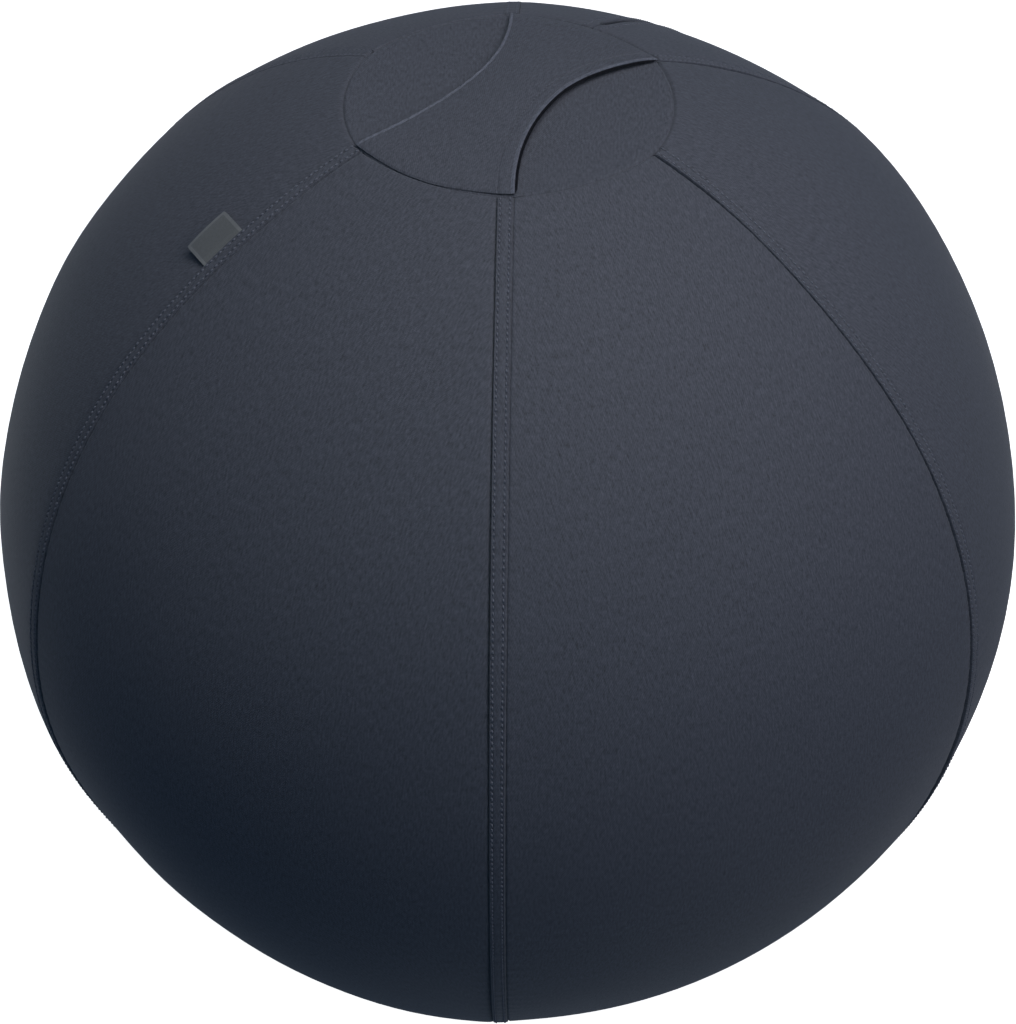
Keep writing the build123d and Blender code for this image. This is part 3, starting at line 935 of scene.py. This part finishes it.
FABRIC_COLOR = (0.060, 0.066, 0.084)
FABRIC_LEVEL = -0.75  # brings the mean of the weave's parts to the middle of its two shades
FABRIC_RIB = 1.5 * MM
FABRIC_SLANT = 0.8  # how far the ribs lean, sideways over along
FABRIC_WANDER = 2.5 * MM
FABRIC_STREAK = 1.1 * MM
STREAK_SHAPE = (1.0, 0.22, 1.0)  # drawn out along the cloth
FABRIC_FLECK = 1.6 * MM
FABRIC_CLOUD = 30 * MM
THREAD_TWIST = 0.7 * MM
RIBBON_RIB = 0.9 * MM
RIBBON_WEFT = 0.7 * MM
TAPE_RIB = 1.1 * MM


def new_shader(name, roughness, **values):
    material = bpy.data.materials.new(name)
    material.use_nodes = True
    shader = material.node_tree.nodes["Principled BSDF"]
    shader.inputs["Roughness"].default_value = roughness
    for key, value in values.items():
        shader.inputs[key.replace("_", " ")].default_value = value
    return material, material.node_tree, shader


def node(tree, kind, inputs=None, **settings):
    made = tree.nodes.new("ShaderNode" + kind)
    for key, value in settings.items():
        setattr(made, key, value)
    for key, value in (inputs or {}).items():
        if isinstance(value, bpy.types.NodeSocket):
            tree.links.new(value, made.inputs[key])
        else:
            made.inputs[key].default_value = value
    return made


def math_node(tree, operation, first, second=0.0):
    return node(tree, "Math", {0: first, 1: second}, operation=operation).outputs[0]


def weighted(tree, parts, start=0.0):
    # sum of values, each times its weight
    total = start
    for part, weight in parts:
        total = math_node(tree, "ADD", math_node(tree, "MULTIPLY", part, weight), total)
    return total


def wave(tree, value, pitch):
    # smooth wave between 0 and 1 over a length
    turned_value = math_node(tree, "MULTIPLY", value, 2 * math.pi / pitch)
    shifted = math_node(tree, "MULTIPLY", math_node(tree, "SINE", turned_value), 0.5)
    return math_node(tree, "ADD", shifted, 0.5)


def weave_axes(tree):
    uv = node(tree, "UVMap", uv_map="weave").outputs["UV"]
    split = node(tree, "SeparateXYZ", {"Vector": uv})
    return uv, split.outputs["X"], split.outputs["Y"]


def noise(tree, vector, size, detail=3.0):
    made = node(tree, "TexNoise", {"Vector": vector, "Scale": 1 / size, "Detail": detail, "Roughness": 0.6})
    return made.outputs["Fac"]


def ramp(tree, value, low, high):
    # colour from low to high
    made = node(tree, "Mix", {"Factor": value, "A": (*low, 1), "B": (*high, 1)}, data_type="RGBA")
    return made.outputs["Result"]


def finish_shader(tree, shader, color, height, distance, strength=0.6):
    tree.links.new(color, shader.inputs["Base Color"])
    made = node(tree, "Bump", {"Height": height, "Distance": distance, "Strength": strength})
    tree.links.new(made.outputs["Normal"], shader.inputs["Normal"])


def scaled(color, factor):
    return tuple(channel * factor for channel in color)


def fabric(name, color, sheen=0.12, gloss=0.5):
    # fine twill of uneven threads: wandering ribs, streaks along the cloth, flecks and a slow cloud
    material, tree, shader = new_shader(
        name, 0.82, Sheen_Weight=sheen, Sheen_Roughness=0.45, Specular_IOR_Level=gloss
    )
    uv, x, y = weave_axes(tree)
    wander = math_node(tree, "MULTIPLY", noise(tree, uv, 2 * FABRIC_WANDER, 2.0), FABRIC_WANDER)
    slant = math_node(tree, "ADD", x, math_node(tree, "MULTIPLY", y, FABRIC_SLANT))
    rib = wave(tree, math_node(tree, "ADD", slant, wander), FABRIC_RIB)
    drawn_out = node(tree, "VectorMath", {0: uv, 1: STREAK_SHAPE}, operation="MULTIPLY").outputs[0]
    streak = noise(tree, drawn_out, FABRIC_STREAK, 2.0)
    fleck = noise(tree, uv, FABRIC_FLECK, 2.0)
    cloud = noise(tree, uv, FABRIC_CLOUD)
    mixed = weighted(tree, ((streak, 1.4), (fleck, 0.9), (rib, 0.15), (cloud, 0.1)), FABRIC_LEVEL)
    shade = ramp(tree, mixed, scaled(color, 0.5), scaled(color, 1.5))
    raised = weighted(tree, ((rib, 0.6), (streak, 0.8)))
    finish_shader(tree, shader, shade, raised, 0.12 * MM)
    return material


def thread(name, color):
    material, tree, shader = new_shader(name, 0.6, Sheen_Weight=0.1)
    uv, x, y = weave_axes(tree)
    twist = wave(tree, math_node(tree, "ADD", x, y), THREAD_TWIST)
    shade = ramp(tree, twist, scaled(color, 0.75), scaled(color, 1.2))
    finish_shader(tree, shader, shade, twist, 0.06 * MM)
    return material


def ribbon(name, color):
    # ribbed ribbon with a lighter border along the two ends and a painted highlight along the fold
    material, tree, shader = new_shader(name, 0.5, Sheen_Weight=0.15)
    uv, x, y = weave_axes(tree)
    rib = wave(tree, y, RIBBON_RIB)
    cross = wave(tree, x, RIBBON_WEFT)
    grain = noise(tree, uv, 1.5 * MM)
    mixed = weighted(tree, ((rib, 0.12), (cross, 0.12), (grain, 0.4)))
    ends = math_node(tree, "GREATER_THAN", math_node(tree, "ABSOLUTE", x), LABEL_LENGTH / 2 - LABEL_BORDER_AND_HIGHLIGHT)
    # painted highlight along the fold at the free edge
    fold_highlight = math_node(tree, "LESS_THAN", math_node(tree, "ABSOLUTE", y), LABEL_BORDER_AND_HIGHLIGHT)
    border_and_highlight = math_node(tree, "MULTIPLY", math_node(tree, "MAXIMUM", ends, fold_highlight), 0.35)
    shade = ramp(tree, math_node(tree, "ADD", mixed, border_and_highlight), scaled(color, 0.6), scaled(color, 1.8))
    finish_shader(tree, shader, shade, mixed, 0.1 * MM)
    return material


def woven_tape(name, color):
    material, tree, shader = new_shader(name, 0.8)
    uv, x, y = weave_axes(tree)
    slant = math_node(tree, "ADD", math_node(tree, "ABSOLUTE", x), y)
    rib = wave(tree, slant, TAPE_RIB)
    shade = ramp(tree, rib, scaled(color, 0.6), scaled(color, 1.4))
    finish_shader(tree, shader, shade, rib, 0.1 * MM)
    return material


def grained(name, color, size, roughness, contrast=0.25, depth=0.05 * MM, **values):
    # plain hard or rubbery surface with grain and slow wear
    material, tree, shader = new_shader(name, roughness, **values)
    place = node(tree, "TexCoord").outputs["Object"]
    fine = noise(tree, place, size, 4.0)
    slow = noise(tree, place, size * 9, 2.0)
    mixed = weighted(tree, ((fine, 0.6), (slow, 0.4)))
    shade = ramp(tree, mixed, scaled(color, 1 - contrast), scaled(color, 1 + contrast))
    finish_shader(tree, shader, shade, fine, depth)
    rough = node(tree, "MapRange", {"Value": slow, "To Min": roughness - 0.08, "To Max": roughness + 0.08})
    tree.links.new(rough.outputs["Result"], shader.inputs["Roughness"])
    return material


cover_fabric = fabric("cover_fabric", FABRIC_COLOR)
handle_fabric = fabric("handle_fabric", FABRIC_COLOR)
# painted highlight: lighter fabric on the folds along the strap's edges, for the light they catch
handle_painted_highlight = fabric("handle_painted_highlight", scaled(FABRIC_COLOR, 1.6))
# painted shade: near-black fabric without sheen, for the shadow in the gap under the strap's right edge
handle_painted_shade = fabric("handle_painted_shade", scaled(FABRIC_COLOR, 0.15), sheen=0.0, gloss=0.05)
hem_thread = thread("hem_thread", FABRIC_COLOR)
seam_thread = thread("seam_thread", scaled(FABRIC_COLOR, 1.7))
label_ribbon = ribbon("label_ribbon", (0.106, 0.112, 0.113))
zip_tape = woven_tape("zip_tape", (0.036, 0.039, 0.050))
zip_plastic = grained("zip_plastic", (0.040, 0.043, 0.053), 0.8 * MM, 0.42)
zip_metal = grained("zip_metal", (0.20, 0.20, 0.21), 0.6 * MM, 0.34, depth=0.02 * MM, Metallic=1.0)
ball_skin = grained("ball_skin", (0.17, 0.18, 0.20), 1.5 * MM, 0.5, contrast=0.15)
valve_plastic = grained("valve_plastic", (0.22, 0.23, 0.25), 1.0 * MM, 0.45, contrast=0.12)
plug_plastic = grained("plug_plastic", (0.62, 0.62, 0.60), 1.0 * MM, 0.4, contrast=0.1)
sand = grained("sand", (0.42, 0.34, 0.24), 0.9 * MM, 0.9, contrast=0.5, depth=0.4 * MM)

NODE_MATERIALS = {
    "zip_upper_stop": zip_plastic,
    "zip_lower_stops": zip_plastic,
    "zip_slider": zip_metal,
    "zip_pull_pin": zip_metal,
    "zip_pull": zip_metal,
    "inner_ball": ball_skin,
    "valve_seat": valve_plastic,
    "valve_plug": plug_plastic,
    "ballast_sand": sand,
}


# Building the ball

PANEL_NAMES = ("right", "zip", "rear_left", "left", "front_left", "front_right")
for index, place in enumerate(PANEL_NAMES):
    seam_stitches("stitches_" + place, index, seam_thread)
    if place == "zip":
        near = panel_piece("cover_zip_right", index, cover_fabric, ends="zip", middle=10)
        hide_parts("panel_zip_right")
        far = panel_piece("cover_zip_rear", index, cover_fabric, starts="zip", middle=10)
        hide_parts("panel_zip_rear")
    else:
        piece = panel_piece("cover_" + place, index, cover_fabric)
        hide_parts("panel_" + place)
zip_stitches("stitches_zip_right", -1, 1, seam_thread)
zip_stitches("stitches_zip_rear", 1, 1, seam_thread)

seat = disc_piece("seat_cloth", RIM_RADIUS, seat_top, seat_under, cover_fabric)
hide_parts("seat_disc")
base = disc_piece("base_cloth", BASE_RADIUS, base_low, base_high, cover_fabric)
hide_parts("base_disc")

strap_front = strap_piece("strap_front", -1, handle_fabric, handle_painted_highlight, handle_painted_shade)
strap_rear = strap_piece("strap_rear", 1, handle_fabric, handle_painted_highlight, handle_painted_shade)
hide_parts("carry_handle")
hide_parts("carry_handle")
strap_stitches("stitches_strap_front", -1, hem_thread)
strap_stitches("stitches_strap_rear", 1, hem_thread)

label = label_piece("label_folded", label_ribbon)
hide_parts("label_tab")

tape_piece("tape_right", "zip_tape_right", -1, zip_tape)
tape_piece("tape_rear", "zip_tape_rear", 1, zip_tape)
teeth_piece("teeth_right", "zip_chain_right", -1, zip_plastic)
teeth_piece("teeth_rear", "zip_chain_rear", 1, zip_plastic)

for name, material in NODE_MATERIALS.items():
    mesh = frame["nodes"][name].data
    mesh.materials.clear()
    mesh.materials.append(material)


# Floor, light and camera

FLOOR_SIZE = 60.0
BACKDROP_RADIUS = 28.0
BACKDROP_HEIGHT = 20.0
BACKDROP_SIDES = 64
CAMERA_DISTANCE = 1.976
CAMERA_AZIMUTH = math.radians(1.20)
CAMERA_ELEVATION = math.radians(39.55)
CAMERA_LENS = 107.0
CAMERA_REACH = 60.0
IMAGE_PIXELS = 1024.0
BALL_PIXEL = (0.7, 1.9)  # the ball's middle right of and above the middle of the picture, in pixels
BALL_MIDDLE = Vector((0, 0, CENTER))


def white_paper():
    material, tree, shader = new_shader("white_paper", 0.9)
    shader.inputs["Base Color"].default_value = (0.9, 0.9, 0.9, 1)
    shader.inputs["Emission Color"].default_value = (1, 1, 1, 1)
    shader.inputs["Emission Strength"].default_value = 1.0
    return material


def stage_piece(name, points, faces, material):
    # piece of the surroundings that throws no light and no shadow on the ball
    mesh = bpy.data.meshes.new(name)
    mesh.from_pydata(points, [], faces)
    mesh.materials.append(material)
    piece = placed(name, mesh)
    piece.visible_diffuse = False
    piece.visible_glossy = False
    piece.visible_shadow = False


def floor_plane(material):
    half = FLOOR_SIZE / 2
    corners = [(-half, -half, 0), (half, -half, 0), (half, half, 0), (-half, half, 0)]
    stage_piece("floor", corners, [(0, 1, 2, 3)], material)


def backdrop(material):
    # round wall on the floor
    points = []
    for height in (0.0, BACKDROP_HEIGHT):
        for side in range(BACKDROP_SIDES):
            angle = 2 * math.pi * side / BACKDROP_SIDES
            points.append((BACKDROP_RADIUS * math.cos(angle), BACKDROP_RADIUS * math.sin(angle), height))
    stage_piece("backdrop", points, quads(2, BACKDROP_SIDES, closed=True), material)


def lamp(name, place, size, power, color=(1.0, 1.0, 1.0)):
    # round lamp that points at the ball
    light = bpy.data.lights.new(name, "AREA")
    light.shape = "DISK"
    light.size = size
    light.energy = power
    light.color = color
    made = placed(name, light)
    made.location = place
    made.rotation_euler = (BALL_MIDDLE - Vector(place)).to_track_quat("-Z", "Y").to_euler()


def world_light(color, strength):
    world = bpy.data.worlds.new("studio")
    bpy.context.scene.world = world
    world.use_nodes = True
    ground = world.node_tree.nodes["Background"]
    ground.inputs["Color"].default_value = (*color, 1)
    ground.inputs["Strength"].default_value = strength


def camera_view():
    data = bpy.data.cameras.new("camera")
    data.lens = CAMERA_LENS
    data.clip_end = CAMERA_REACH
    data.shift_x = -BALL_PIXEL[0] / IMAGE_PIXELS
    data.shift_y = -BALL_PIXEL[1] / IMAGE_PIXELS
    camera = placed("camera", data)
    back = Vector(direction(CAMERA_AZIMUTH - math.pi / 2, CAMERA_ELEVATION))
    camera.location = BALL_MIDDLE + back * CAMERA_DISTANCE
    camera.rotation_euler = (-back).to_track_quat("-Z", "Y").to_euler()
    bpy.context.scene.camera = camera


paper = white_paper()
floor_plane(paper)
backdrop(paper)
lamp("top", (0.0, 0.0, 3.0), 1.6, 17.0, (1.0, 1.0, 0.95))
lamp("top_right", (1.2, -0.6, 2.6), 1.4, 22.5, (1.0, 0.93, 0.97))
lamp("front_right", (1.4, -1.8, 1.9), 1.2, 8.9, (0.93, 0.93, 1.0))
lamp("front", (0.1, -2.0, 2.2), 1.2, 3.0, (0.6, 1.0, 1.0))
lamp("left", (-2.5, -0.3, 1.2), 1.2, 1.7, (1.0, 0.9, 1.0))
# The lamps under the floor stand for the light that a white floor throws back.
lamp("rear", (0.5, 2.0, -0.8), 1.2, 14.0)
lamp("rear_left", (-1.7, 1.2, -0.8), 1.2, 6.0)
lamp("floor_glow", (0.6, -0.2, -1.2), 1.6, 2.0)
world_light((0.28, 0.55, 1.0), 0.11)
camera_view()
bpy.context.scene.view_settings.view_transform = "Standard"
